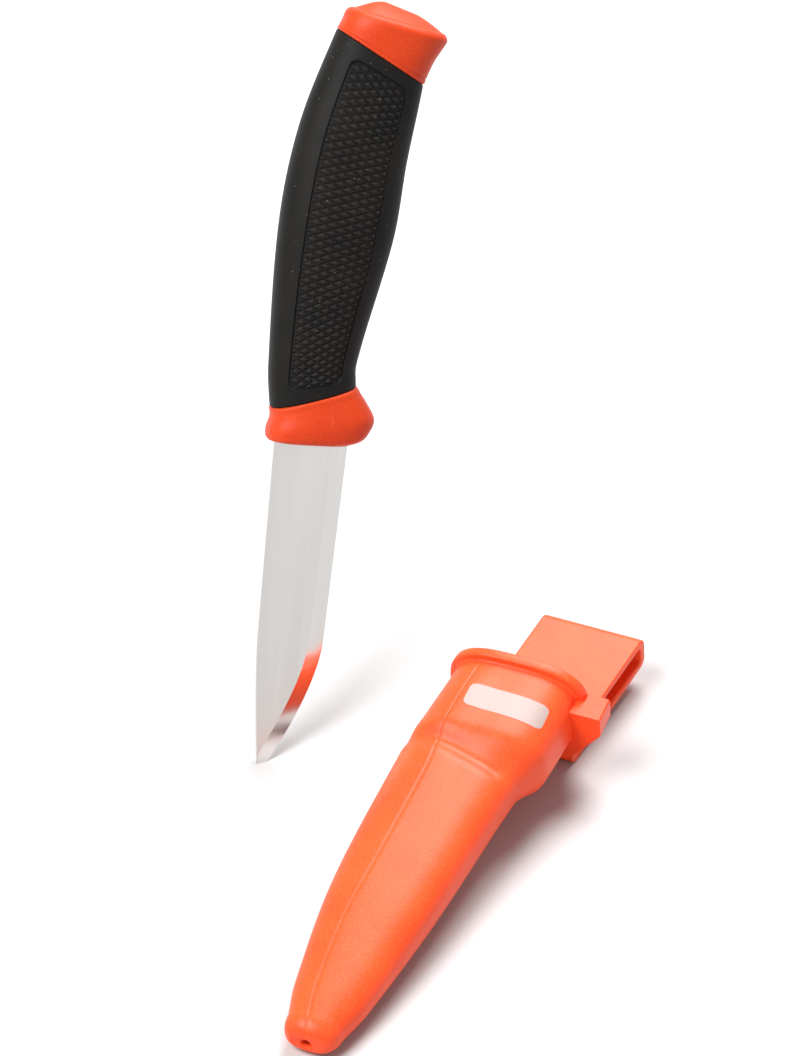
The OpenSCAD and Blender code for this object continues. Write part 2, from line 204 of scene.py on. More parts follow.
class Finish:
    """A material built from values and a few nodes."""

    def __init__(self, name, **constants):
        self.material = bpy.data.materials.new(name)
        self.material.use_nodes = True
        self.tree = self.material.node_tree
        self.shader = self.tree.nodes["Principled BSDF"]
        for socket, value in constants.items():
            self.shader.inputs[socket.replace("_", " ")].default_value = value

    def node(self, kind, settings=None, sockets=None, output=0):
        node = self.tree.nodes.new(kind)
        for key, value in (settings or {}).items():
            setattr(node, key, value)
        for key, value in (sockets or {}).items():
            self.join(value, node.inputs[key])
        return Value(self, node.outputs[output])

    def join(self, value, socket):
        if isinstance(value, Value):
            self.tree.links.new(value.socket, socket)
        else:
            socket.default_value = value

    def surface(self, **sockets):
        for key, value in sockets.items():
            self.join(value, self.shader.inputs[key.replace("_", " ")])
        return self.material

    def place(self, stretch=(1, 1, 1)):
        coordinates = self.node("ShaderNodeAttribute", {"attribute_name": "own_place"}, output="Vector")
        return self.node("ShaderNodeVectorMath", {"operation": "MULTIPLY"}, {0: coordinates, 1: stretch})

    def noise(self, scale, detail=2, stretch=(1, 1, 1)):
        return self.node("ShaderNodeTexNoise", None,
                         {"Vector": self.place(stretch), "Scale": scale, "Detail": detail, "Roughness": 0.55})

    def band(self, value, low, high):
        return self.node("ShaderNodeMapRange", {"interpolation_type": "SMOOTHSTEP", "clamp": True},
                         {"Value": value, "From Min": low, "From Max": high})

    def mix(self, factor, first, second):
        return self.node("ShaderNodeMix", {"data_type": "RGBA"},
                         {"Factor": factor, 6: first, 7: second}, output=2)

    def bump(self, height, distance, strength=1):
        return self.node("ShaderNodeBump", None,
                         {"Height": height, "Distance": distance, "Strength": strength})


def colour(red, green, blue):
    """A colour as a screen shows it, 0 to 255, turned into the linear one that shaders take."""
    def linear(v):
        v /= 255
        return v / 12.92 if v <= 0.04045 else ((v + 0.055) / 1.055) ** 2.4
    return (linear(red), linear(green), linear(blue), 1)


def grained_orange(name, main, deep, pale, grain_size, gloss):
    """Moulded plastic with a fine grain, uneven tone and pale scuffs along its length."""
    finish = Finish(name, Specular_IOR_Level=0.24)
    grain = finish.noise(1 / grain_size, 3)
    cloud = finish.noise(55, 3)
    scuff = finish.band(finish.noise(260, 4, (1, 1, 0.12)), 0.68, 0.8)
    base = finish.mix(finish.band(cloud, 0.3, 0.72), main, deep)
    base = finish.mix(finish.band(grain, 0.44, 0.7) * 0.15 + scuff * 0.2, base, pale)
    return finish.surface(Base_Color=base, Roughness=gloss + grain * 0.14 + scuff * 0.12,
                          Normal=finish.bump(grain + scuff * 0.3, 0.00008, 0.7))


def black_rubber(name, tone, lighter):
    """Soft black moulding, its grain rubbed lighter, with specks of dust."""
    finish = Finish(name, Specular_IOR_Level=0.16)
    grain = finish.noise(3200, 3)
    cloud = finish.noise(70, 2)
    dust = finish.band(finish.noise(1100, 1), 0.76, 0.8)
    dark, light = colour(tone - 6, tone - 7, tone - 8), colour(tone + 4, tone + 2, tone)
    base = finish.mix(finish.band(cloud, 0.3, 0.75), dark, light)
    base = finish.mix(finish.band(grain, 0.5, 0.85) * lighter, base, colour(66, 63, 59))
    base = finish.mix(dust * 0.45, base, colour(150, 145, 135))
    return finish.surface(Base_Color=base, Roughness=0.5 + grain * 0.16 + dust * 0.2,
                          Normal=finish.bump(grain, 0.00005, 0.5))


def ground_steel(name, tone, shine, grain_depth):
    """Satin steel, its grain along the blade, with smudges and a few fine scratches."""
    finish = Finish(name, Metallic=1)
    grain = finish.noise(1, 3, (7000, 7000, 70))
    cloud = finish.noise(1, 2, (160, 160, 14))
    smudge = finish.noise(48, 3)
    scratch = finish.band(finish.noise(1, 1, (2600, 2600, 34)), 0.78, 0.8)
    dark, light = colour(tone, tone - 3, tone - 6), colour(tone + 6, tone + 4, tone + 2)
    base = finish.mix(finish.band(cloud, 0.25, 0.75), dark, light)
    base = finish.mix(finish.band(smudge, 0.55, 0.8) * 0.12, base, colour(tone - 14, tone - 19, tone - 24))
    rough = shine + grain * 0.04 + finish.band(smudge, 0.5, 0.8) * 0.05 + scratch * 0.06
    return finish.surface(Base_Color=base, Roughness=rough,
                          Normal=finish.bump(grain + scratch * 0.6, grain_depth, 0.2))


def pale_print(name):
    """Thin pale print, worn through in places to the orange below."""
    finish = Finish(name, Specular_IOR_Level=0.45)
    worn = finish.noise(900, 4)
    base = finish.mix(finish.band(worn, 0.66, 0.74) * 0.7, colour(170, 148, 142), colour(251, 150, 118))
    return finish.surface(Base_Color=base, Roughness=0.45 + worn * 0.1)


handle_orange = grained_orange("handle_orange", colour(206, 61, 16), colour(198, 54, 13),
                               colour(236, 106, 60), 0.0005, 0.42)
sheath_orange = grained_orange("sheath_orange", colour(255, 82, 34), colour(252, 74, 29),
                               colour(255, 130, 92), 0.0007, 0.32)
grip_rubber = black_rubber("grip_rubber", 14, 0.2)
diamond_rubber = black_rubber("diamond_rubber", 22, 0.5)
blade_flat = ground_steel("blade_flat", 206, 0.2, 0.000003)
# The bevel's steel is 8 paler than the flat's: painted light, so that the bevel's reflection shows as bright
# as the flat's.
blade_bevel_painted_brighter = ground_steel("blade_bevel_painted_brighter", 214, 0.1, 0.000002)
badge_print = pale_print("badge_print")


# Blade

HALF_ROOT, HALF_END = BLADE_WIDTH / 2, (BLADE_WIDTH - BLADE_TAPER) / 2


def edge_x(depth):
    """Cutting edge at a depth below the guard: straight, then a curve to the point."""
    if depth < STRAIGHT_LENGTH:
        return HALF_ROOT - BLADE_TAPER / 2 * max(depth, 0) / STRAIGHT_LENGTH
    bend_depth = STRAIGHT_LENGTH + BEND_SHARE * CURVE_LENGTH
    a = STRAIGHT_LENGTH - 2 * bend_depth + BLADE_LENGTH
    b = bend_depth - STRAIGHT_LENGTH
    u = (math.sqrt(b * b + a * (depth - STRAIGHT_LENGTH)) - b) / a
    return HALF_END * (1 - u) ** 2 + HALF_END * 2 * u * (1 - u) - POINT_OFFSET * u * u


def spine_x(depth):
    """Back of the blade at a depth below the guard."""
    if depth < STRAIGHT_LENGTH:
        return -HALF_ROOT + BLADE_TAPER / 2 * max(depth, 0) / STRAIGHT_LENGTH
    u = (depth - STRAIGHT_LENGTH) / CURVE_LENGTH
    return -HALF_END + (HALF_END - POINT_OFFSET) * u ** SPINE_POWER


HOLD_DEPTH = BLADE_LENGTH - POINT_SINK
KNIFE = (turn(LEAN_TOWARDS, "Z") @ turn(KNIFE_LEAN, "Y") @ turn(KNIFE_TURN - LEAN_TOWARDS, "Z")
         @ shift(-(spine_x(HOLD_DEPTH) + edge_x(HOLD_DEPTH)) / 2, 0, HOLD_DEPTH))


def blade_steel():
    """Flats and bevels on both sides, with fine chamfers along the spine. It starts inside the guard."""
    in_guard, tip_gap, chamfer, thin = 4, 0.4, 0.14, 0.1
    depths = [-in_guard, 0] + list(np.linspace(1, STRAIGHT_LENGTH, 20))
    depths += [STRAIGHT_LENGTH + (CURVE_LENGTH - tip_gap) * (1 - (1 - u) ** 1.5)
               for u in np.linspace(0, 1, 70)[1:]]
    lines = []
    for depth in depths:
        left, right = spine_x(depth), edge_x(depth)
        line = max(right - BEVEL_WIDTH, left + 0.3 * min(1, (right - left) / 2))
        thick = thin + (BLADE_THICKNESS / 2 - thin) * min(1, (right - line) / BEVEL_WIDTH)
        cut = min(chamfer, thick * 0.5, (line - left) * 0.4)
        lines.append([(left, cut - thick, -depth), (left + cut, -thick, -depth), (line, -thick, -depth),
                      (right - 0.05, -0.12, -depth), (right, -0.03, -depth)])
    shape = Shape()
    for side in (1, -1):
        for first, finish in ((0, 0), (1, 0), (2, 1), (3, 1)):
            rows = [[(x, y * side, z) for x, y, z in line[first:first + 2]] for line in lines]
            shape.grid(rows if side > 0 else [row[::-1] for row in rows], around=False, finish=finish)
    for k, finish in ((0, 0), (4, 1)):
        rows = [[line[k], (line[k][0], -line[k][1], line[k][2])] for line in lines]
        shape.grid(rows, around=False, finish=finish)
    return shape.piece("blade_steel", KNIFE, "knife", [blade_flat, blade_bevel_painted_brighter], 20, ["blade"])


# Handle

# Sections: place, then middle x, slope in degrees, half width, half thickness and power of the oval
guard_rows = sections(
    (0, 0.2, 2, GUARD_WIDTH / 2 - 4.6, GUARD_THICKNESS / 2 - 3, GUARD_POWER),
    (0.9, 0.8, 4, GUARD_WIDTH / 2 - 2, GUARD_THICKNESS / 2 - 1.1, GUARD_POWER),
    (2.6, 1.4, 6, GUARD_WIDTH / 2 - 0.7, GUARD_THICKNESS / 2 - 0.3, GUARD_POWER),
    (5.8, GUARD_REACH, 9.5, GUARD_WIDTH / 2, GUARD_THICKNESS / 2, GUARD_POWER),
    (9.4, GUARD_REACH / 2, 14.5, (GUARD_WIDTH + NECK_WIDTH) / 4,
     (GUARD_THICKNESS + NECK_THICKNESS) / 4, JOINT_POWER),
    (GUARD_LENGTH, -0.9, GUARD_TILT, NECK_WIDTH / 2, NECK_THICKNESS / 2, GRIP_POWER))
grip_rows = sections(
    (GUARD_LENGTH, -0.9, GUARD_TILT, NECK_WIDTH / 2, NECK_THICKNESS / 2, GRIP_POWER),
    (GUARD_LENGTH + 9, -1.9, 8, NECK_WIDTH / 2, NECK_THICKNESS / 2 + 0.3, GRIP_POWER),
    (BELLY_PLACE, 0.11 * TAIL_DROOP, -4, BELLY_WIDTH / 2, BELLY_THICKNESS / 2, GRIP_POWER),
    ((BELLY_PLACE + TAIL_PLACE) / 2, 0.38 * TAIL_DROOP, -12, (BELLY_WIDTH + TAIL_WIDTH) / 4 + 0.6,
     (BELLY_THICKNESS + TAIL_THICKNESS) / 4 + 0.3, GRIP_POWER),
    (TAIL_PLACE, TAIL_DROOP, TAIL_TILT, TAIL_WIDTH / 2, TAIL_THICKNESS / 2, GRIP_POWER))
POMMEL_END = TAIL_PLACE + POMMEL_LENGTH
END_DROOP, END_TILT = TAIL_DROOP + 3.6, TAIL_TILT + 17
pommel_rows = sections(
    (TAIL_PLACE, TAIL_DROOP, TAIL_TILT, TAIL_WIDTH / 2, TAIL_THICKNESS / 2, GRIP_POWER),
    (TAIL_PLACE + 0.45 * POMMEL_LENGTH, (TAIL_DROOP + END_DROOP) / 2, (TAIL_TILT + END_TILT) / 2,
     TAIL_WIDTH / 2 - 0.3, (TAIL_THICKNESS + POMMEL_THICKNESS) / 4, JOINT_POWER),
    (POMMEL_END - END_ROUND, END_DROOP, END_TILT, POMMEL_WIDTH / 2, POMMEL_THICKNESS / 2, GRIP_POWER))


def tilted(values, place, across, through, rise=0):
    """Points of one ring, on the slope that the ring has along the handle."""
    slope = math.radians(values[1])
    return np.stack([values[0] + across * math.cos(slope) - rise * math.sin(slope), through,
                     place + across * math.sin(slope) + rise * math.cos(slope)], axis=1)


def handle_ring(rows, place, angles, inset=0, lift=0, roof=0):
    """One ring of the handle, drawn in by inset and raised by lift, with a soft roof ridge if asked."""
    values = curve(rows, place)
    inset = inset + HAIR
    flat = oval(values[2] - inset, values[3] - inset, values[4], angles)
    peak = -RIDGE_SHARE * values[2]
    away = np.sqrt((flat[:, 0] - peak) ** 2 + RIDGE_ROUND) - RIDGE_LIFT
    rise = lift + roof * (1 - away / np.where(flat[:, 0] < peak, values[2] + peak, values[2] - peak))
    return tilted(values, place, flat[:, 0], flat[:, 1], rise)


def handle_moulding():
    """Guard and pommel: the two ends of the hard moulding, each with a fine lip beside the grip."""
    count = 128
    angles = (np.arange(count) + 0.5) / count * 2 * math.pi
    shape = Shape()
    lip = [(-1.5, -0.03), (-1.05, -0.16), (-0.6, -0.22), (-0.25, -0.16), (-0.06, 0.02), (0, 0.3),
           (0, SLEEVE_WALL)]
    places = list(np.concatenate([np.linspace(0, 2.6, 12), np.linspace(3, GUARD_LENGTH - 1.9, 22)]))
    rings = [handle_ring(guard_rows, place, angles) for place in places]
    rings += [handle_ring(guard_rows, GUARD_LENGTH + d, angles, inset) for d, inset in lip]
    shape.grid(rings, first_cap=True, last_cap=True)
    lip = [(0, SLEEVE_WALL), (0, 0.35), (0.05, 0.06), (0.25, -0.1), (0.75, -0.12), (1.0, -0.04), (1.1, 0.12),
           (1.25, 0.1), (1.45, -0.06)]
    rings = [handle_ring(pommel_rows, TAIL_PLACE + d, angles, inset) for d, inset in lip]
    last = POMMEL_END - END_ROUND
    rings += [handle_ring(pommel_rows, place, angles) for place in np.linspace(TAIL_PLACE + 1.8, last, 16)]
    for a in np.radians(np.arange(10, 91, 10)):
        rings.append(handle_ring(pommel_rows, last, angles, END_ROUND * (1 - math.cos(a)),
                                 END_ROUND * math.sin(a) - HAIR))
    for u in np.linspace(0, 1, 13)[1:]:
        rings.append(handle_ring(pommel_rows, last, angles, END_ROUND + DOME_INSET * u,
                                 END_ROUND + DOME_HEIGHT * u * (2 - u) - HAIR, ROOF_HEIGHT * u))
    shape.grid(rings, first_cap=True, last_cap=True)
    return shape.piece("handle_moulding", KNIFE, "knife", [handle_orange], 60,
                       ["handle_core"])


# Grip

PANEL_START, PANEL_END = GUARD_LENGTH + PANEL_MARGIN, TAIL_PLACE - PANEL_MARGIN
PANEL_MIDDLE, PANEL_HALF = (PANEL_START + PANEL_END) / 2, (PANEL_END - PANEL_START) / 2
DIAMOND_ROWS = 2 * round((PANEL_END - PANEL_START) / DIAMOND_LENGTH)


def panel_distance(across, half_x, place):
    """Distance outside the sunk panel's round-cornered outline, less than zero inside."""
    dx = np.abs(across) - PANEL_SHARE * half_x + PANEL_CORNER
    dy = abs(place - PANEL_MIDDLE) - PANEL_HALF + PANEL_CORNER
    return (np.hypot(np.maximum(dx, 0), max(dy, 0)) + np.minimum(np.maximum(dx, dy), 0)) - PANEL_CORNER


def grip_sleeve():
    """Soft sleeve with a round bead at each joint and a sunk panel on each side."""
    ends = -np.cos(np.linspace(0, math.radians(53.5), 13)) ** (2 / GRIP_POWER)
    near = [-0.645, -0.632, -0.624, -0.617, -0.61, -0.603, -0.596, -0.588, -0.575]
    half = list(ends) + near
    shares = np.array(half + list(np.linspace(-0.55, 0.55, 30)) + [-v for v in half[::-1]])
    around = [(v, -1) for v in shares] + [(v, 1) for v in shares[::-1][1:-1]]
    share = np.array([v for v, _ in around])
    side = np.array([w for _, w in around])
    depth = (1 - np.abs(share) ** GRIP_POWER).clip(0) ** (1 / GRIP_POWER)
    bead = [(0.02, 0.75), (0.02, 0.4), (0.1, 0.2), (0.25, 0.07), (0.5, 0)]
    fine = np.array([-0.5, -0.3, -0.15, 0, 0.15, 0.3, 0.5, 0.8, 1.1, 1.5, 1.9, 2.3, 2.7])
    places = [(GUARD_LENGTH + d, i) for d, i in bead]
    inner = np.concatenate([np.linspace(GUARD_LENGTH + 1, PANEL_START - 0.8, 5), PANEL_START + fine,
                            np.linspace(PANEL_START + 4, PANEL_END - 4, 58), (PANEL_END - fine)[::-1],
                            np.linspace(PANEL_END + 0.8, TAIL_PLACE - 1, 5)])
    places += [(v, 0) for v in inner] + [(TAIL_PLACE - d, i) for d, i in bead[::-1]]
    rings = []
    for place, inset in places:
        values = curve(grip_rows, place)
        half_x, half_y = values[2] - inset - HAIR, values[3] - inset - HAIR
        sunk = PANEL_FLOOR * soft_step(0.16, -0.2, panel_distance(share * half_x, half_x, place))
        rings.append(tilted(values, place, share * half_x, side * (half_y * depth - sunk)))
    shape = Shape()
    shape.grid(rings)
    for place, r in ((GUARD_LENGTH + 0.02, 0), (TAIL_PLACE - 0.02, -1)):
        values = curve(grip_rows, place)
        inner = tilted(values, place, share * (values[2] - SLEEVE_WALL),
                       side * depth * (values[3] - SLEEVE_WALL))
        shape.grid([inner, rings[0]] if r == 0 else [rings[-1], inner])
    return shape.piece("grip_sleeve_rubber", KNIFE, "knife", [grip_rubber], 50,
                       ["grip_sleeve"])


def clipped(corners, keep):
    """The part of a facet where keep(corner) is zero or more."""
    result = []
    for a, b in zip(corners, corners[1:] + corners[:1]):
        ka, kb = keep(a), keep(b)
        if ka >= 0:
            result.append(a)
        if (ka < 0) != (kb < 0):
            result.append(a + (b - a) * ka / (ka - kb))
    return result


def grip_point(share, place, height, side):
    """A point that stands height above the panel's floor."""
    values = curve(grip_rows, place)
    depth = (1 - abs(share) ** GRIP_POWER) ** (1 / GRIP_POWER)
    lean = np.array([math.copysign(abs(share) ** 1.5, share) / values[2], side * depth ** 1.5 / values[3]])
    lean /= np.hypot(*lean)
    rise = height - PANEL_FLOOR
    return tilted(values, place, np.array([share * values[2] + lean[0] * rise]),
                  np.array([side * values[3] * depth + lean[1] * rise]))[0]


def grip_diamonds():
    """Raised diamonds in staggered columns, cut off at the panel's outline."""
    wide, tall = 2 * PANEL_SHARE / DIAMOND_COLUMNS, 2 * PANEL_HALF / DIAMOND_ROWS
    groove, margin, peak, corner_cut = 0.93, 0.42, 0.55, 1.3
    half = PANEL_HALF - margin
    outline = [(1, 0), (0, 1), (-1, 0), (0, -1)]
    shape = Shape()
    chance = random.Random(4)
    for i in range(DIAMOND_ROWS + 1):
        for j in range(DIAMOND_COLUMNS + 1):
            if (i + j) % 2 == 0:
                continue
            centre = np.array([j * wide - PANEL_SHARE, PANEL_START + i * tall, 0])
            half_x = curve(grip_rows, centre[1])[2]
            room = PANEL_SHARE - margin / half_x
            top = peak * chance.uniform(0.92, 1.04)
            low = [centre + (x * wide * groove, y * tall * groove, 0.02) for x, y in outline]
            high = [centre + (x * wide * 0.3, y * tall * 0.3, top * 0.92) for x, y in outline]
            tip = centre + (0, 0, top)
            facets = [[low[k], low[(k + 1) % 4], high[(k + 1) % 4], high[k]] for k in range(4)]
            facets += [[high[k], high[(k + 1) % 4], tip] for k in range(4)]
            rules = [lambda p: room - p[0], lambda p: room + p[0],
                     lambda p: half - p[1] + PANEL_MIDDLE, lambda p: half + p[1] - PANEL_MIDDLE,
                     lambda p: (room - abs(p[0])) * half_x + half - corner_cut - abs(p[1] - PANEL_MIDDLE)]
            for facet in facets:
                for rule in rules:
                    facet = clipped(facet, rule) if len(facet) > 2 else []
                if len(facet) < 3:
                    continue
                for side in (-1, 1):
                    corners = [grip_point(*corner, side) for corner in facet]
                    shape.face(corners if side < 0 else corners[::-1])
    return shape.piece("grip_diamonds", KNIFE, "knife", [diamond_rubber], 12)


# Sheath

# The grip above the rim bounds the pocket on the spine side, the guard on the edge side
grip_at_rim = curve(grip_rows, SEAT_DEPTH + RIM_HEIGHT)
SEAT_LEFT, SEAT_RIGHT = grip_at_rim[0] - grip_at_rim[2], GUARD_REACH + GUARD_WIDTH / 2
SEAT_SHIFT = (SEAT_LEFT + SEAT_RIGHT) / 2
POCKET_HALF = (SEAT_RIGHT - SEAT_LEFT) / 2 + POCKET_CLEARANCE + SHEATH_WALL
POCKET_DEEP = max(GUARD_THICKNESS / 2, grip_at_rim[3]) + POCKET_CLEARANCE + SHEATH_WALL
SLOT_HALF = BLADE_WIDTH / 2 + (EDGE_ROOM + SPINE_ROOM) / 2 + SHEATH_WALL
SLOT_MIDDLE = -SEAT_SHIFT + (EDGE_ROOM - SPINE_ROOM) / 2
SLOT_DEEP = POCKET_DEEP - SLOT_STEP
TIP_MIDDLE = -SEAT_SHIFT - POINT_OFFSET + TIP_LEAD
PLATE_FRONT = POCKET_DEEP - PLATE_LAP
SPACE_FRONT = PLATE_FRONT + LOOP_PLATE
LOOP_BACK = SPACE_FRONT + BELT_GAP + LOOP_PLATE
LOOP_LOW = LOOP_RISE - BELT_WIDTH
LUG_SIDE = POCKET_HALF + LUG_REACH
DRAIN_X = TIP_MIDDLE - POCKET_SLANT * SHEATH_LENGTH
# The sheath lies on its back, on its tip and the low corner of its loop
REST_LENGTH = TIP_REST + LOOP_LOW - LOOP_PLATE + LOOP_CORNER
SHEATH_PITCH = math.atan((LOOP_BACK - TIP_THICKNESS / 2) / REST_LENGTH)
SHEATH = (shift(SHEATH_BESIDE, -SHEATH_BEFORE, 0) @ turn(math.degrees(SHEATH_PITCH) - 90, "X")
          @ shift(0, -TIP_THICKNESS / 2, TIP_REST))
# Sections: depth below the rim, then middle x, half width, half thickness and power of the oval
shell_rows = sections(
    (0, 0, POCKET_HALF, POCKET_DEEP, 3),
    (SEAT_DEPTH - 4, -POCKET_SWELL, POCKET_HALF + POCKET_SWELL - POCKET_DRAFT, POCKET_DEEP - POCKET_DRAFT, 3),
    (SEAT_DEPTH - 0.5, -1.5, POCKET_HALF + 0.4, POCKET_DEEP - 0.7, 3),
    (SEAT_DEPTH + 4, SLOT_MIDDLE + 0.9, SLOT_HALF + 1.6, SLOT_DEEP + 0.35, 2.8),
    (SEAT_DEPTH + 8, SLOT_MIDDLE, SLOT_HALF + SLOT_TAPER / 2, SLOT_DEEP, 2.7),
    (SEAT_DEPTH + STRAIGHT_LENGTH, SLOT_MIDDLE, SLOT_HALF - SLOT_TAPER / 2, SLOT_DEEP - THIN_TAPER, 2.7),
    (SEAT_DEPTH + BLADE_LENGTH - 8, TIP_MIDDLE - 0.4, TIP_WIDTH / 2 + 2.8, TIP_THICKNESS / 2 + 0.9, 2.4),
    (TIP_REST, TIP_MIDDLE, TIP_WIDTH / 2, TIP_THICKNESS / 2, 2.4))
seam_rows = sections((0, -10.8), (30, -10.9), (43, -9.4), (75, -8.5), (99, -8.2), (122, -5.6),
                     (SHEATH_LENGTH, TIP_MIDDLE))


def keel(x, depth):
    """The front rises a little towards its seam, below the rim."""
    rise = KEEL_RISE * soft_step(RIM_HEIGHT + 1, RIM_HEIGHT + 12, depth)
    return 1 + rise * np.clip(1 - np.abs(x - curve(seam_rows, depth)[0]) / KEEL_HALF, 0, 1)


def shell_front(x, depth):
    """How far the shell's front stands out at x, measured square with the rim."""
    middle, half_x, half_y, power = curve(shell_rows, depth)
    x = x + POCKET_SLANT * depth
    share = np.clip(np.abs(x - middle) / half_x, 0, 1)
    return half_y * (1 - share ** power) ** (1 / power) * keel(x, depth)


def fold(across, half_x, depth):
    """Depth of the slanted hollow in the front, where the pocket for the guard ends."""
    line = FOLD_PLACE + FOLD_SLANT * np.clip(across, -8, 20)
    fade = soft_step(half_x, 0.6 * half_x, np.abs(across))
    return FOLD_DEPTH * np.exp(-((depth - line) / FOLD_WIDTH) ** 2) * fade


def shell_ring(depth, inset=0, drop=0, seam=0.0):
    """One ring of the shell. With a seam, its fine line is on front and back, the keel and fold in front."""
    middle, half_x, half_y, power = curve(shell_rows, depth)
    half_x, half_y = half_x - inset - HAIR / 2, half_y - inset - HAIR / 2
    share = min(max((curve(seam_rows, depth + drop)[0] - middle) / half_x, -0.9), 0.9)
    crossing = math.acos(math.copysign(abs(share) ** (power / 2), share))
    seam_x = middle + share * half_x + np.array([-0.5, -0.2, 0, 0.2, 0.5])
    flank = 1.0 / half_x
    sides = [oval(half_x, half_y, power, angles) for angles in
             (np.linspace(math.pi, crossing + flank, 34), np.linspace(crossing - flank, 0, 52))]
    at_seam = half_y * (1 - np.clip(np.abs(seam_x - middle) / half_x, 0, 1) ** power) ** (1 / power)
    at_seam -= seam * np.array([0, 0.55, 1, 0.55, 0])
    front_x = np.concatenate([middle + sides[0][:, 0], seam_x, middle + sides[1][:, 0]])
    front_y = np.concatenate([sides[0][:, 1], at_seam, sides[1][:, 1]])
    raised = front_y * keel(front_x, depth) - fold(front_x - middle, half_x, depth) if seam else front_y
    x = np.concatenate([front_x, front_x[::-1][1:-1]]) - POCKET_SLANT * (depth + drop)
    y = np.concatenate([-raised, front_y[::-1][1:-1]])
    return np.stack([x, y, np.full(len(x), -depth - drop)], axis=1)


def drain_ring(depth, radius, like):
    """A round ring about the drain hole, its points in step with those of another ring."""
    away = like[:, :2] - (DRAIN_X, 0)
    away /= np.linalg.norm(away, axis=1)[:, None]
    return np.stack([DRAIN_X + radius * away[:, 0], radius * away[:, 1], np.full(len(like), -depth)], axis=1)


def sheath_moulding():
    """Shell from its rim down the outside to the drain hole, and back up the inside."""
    mouth = 0.62
    rim = [(mouth, SHEATH_WALL), (0.2, SHEATH_WALL - 0.14), (0, SHEATH_WALL - 0.55), (0, 0.6), (0, -1.3)]
    rim += [(RIM_ROUND * (1 - math.cos(a)), RIM_ROUND - RIM_LIP - RIM_ROUND * math.sin(a))
            for a in np.radians((20, 45, 70, 90))]
    rim += [(RIM_HEIGHT - RIM_ROUND * (1 - math.sin(a)), RIM_ROUND - RIM_LIP - RIM_ROUND * math.cos(a))
            for a in np.radians((0, 25, 50, 75, 90))]
    rim += [(RIM_HEIGHT + 0.03, -0.7), (RIM_HEIGHT + 0.15, -0.25), (RIM_HEIGHT + 0.5, -0.05)]
    rings = [shell_ring(depth, inset) for depth, inset in rim]
    shoulder_top, shoulder_end = 23, 54
    depths = (np.linspace(RIM_HEIGHT + 1, shoulder_top, 20),
              np.linspace(shoulder_top + 0.5, shoulder_end, 62),
              np.linspace(shoulder_end + 1, TIP_REST, 76))
    for depth in np.concatenate(depths):
        rings.append(shell_ring(depth, 0, 0, SEAM_DEPTH * soft_step(RIM_HEIGHT, RIM_HEIGHT + 4, depth)))
    last_turn = math.radians(75)
    for a in np.radians(np.arange(8, 76, 7.5)):
        drop = (TIP_ROUND - HAIR / 2) * math.sin(a) / math.sin(last_turn)
        rings.append(shell_ring(TIP_REST, TIP_INSET * (1 - math.cos(a)), drop, 0.15 * math.cos(a)))
    rings.append(shell_ring(TIP_REST, TIP_INSET * (1 - math.cos(last_turn)), TIP_ROUND - HAIR / 2))
    rings += [drain_ring(SHEATH_LENGTH - HAIR / 2, DRAIN_RADIUS + 0.35, rings[-1]),
              drain_ring(SHEATH_LENGTH - 0.1, DRAIN_RADIUS + 0.1, rings[-1]),
              drain_ring(SHEATH_LENGTH - 0.35, DRAIN_RADIUS, rings[-1])]
    inner = shell_ring(TIP_REST, SHEATH_WALL + TIP_INSET / 2, TIP_ROUND - SHEATH_WALL)
    rings += [drain_ring(SHEATH_LENGTH - SHEATH_WALL, DRAIN_RADIUS, inner), inner]
    rings += [shell_ring(depth, SHEATH_WALL) for depth in np.linspace(TIP_REST, mouth, 48)]
    shape = Shape()
    shape.grid([ring[::-1] for ring in rings])
    return shape.piece("sheath_moulding", SHEATH, "sheath", [sheath_orange], 50,
                       ["sheath_shell"])


def round_outline(low, high, radius, steps=10):
    """Corners of a round-cornered rectangle, in order."""
    left, right = low[0] + radius, high[0] - radius
    bottom, top = low[1] + radius, high[1] - radius
    points = []
    for x, y, start in ((right, top, 0), (left, top, 90), (left, bottom, 180), (right, bottom, 270)):
        for a in np.radians(np.linspace(start, start + 90, steps)):
            points.append((x + radius * math.cos(a), y + radius * math.sin(a)))
    return points


def softened(thing, width):
    """Rounds the edges of a piece by a width in millimetres."""
    bevel = thing.modifiers.new("soft_edges", "BEVEL")
    bevel.width, bevel.segments = width * 0.001, 3
    bevel.limit_method, bevel.angle_limit = "ANGLE", math.radians(40)
    bevel.harden_normals = True
    return thing


def belt_loop():
    """Plates round the belt's slot, slanted across the back of the sheath."""
    outer = round_outline((PLATE_FRONT, LOOP_LOW - LOOP_PLATE), (LOOP_BACK, LOOP_RISE + LOOP_PLATE),
                          LOOP_CORNER)
    inner = round_outline((SPACE_FRONT, LOOP_LOW), (SPACE_FRONT + BELT_GAP, LOOP_RISE), SLOT_CORNER)
    left, right = LOOP_OFFSET - LOOP_WIDTH / 2, LOOP_OFFSET + LOOP_WIDTH / 2
    rings = [[(x + LOOP_SLANT * z, y, z) for y, z in outline] for x, outline in
             ((left, outer), (right, outer), (right, inner), (left, inner))]
    shape = Shape()
    n = len(outer)
    for ring in rings:
        shape.points.extend(ring)
    for r in range(4):
        for c in range(n):
            d = (c + 1) % n
            s = (r + 1) % 4
            shape.faces.append((r * n + c, r * n + d, s * n + d, s * n + c))
    shape.finishes = [0] * len(shape.faces)
    loop = shape.piece("belt_loop_plates", SHEATH, "sheath", [sheath_orange], 40,
                       ["belt_loop"])
    return softened(loop, 0.6)


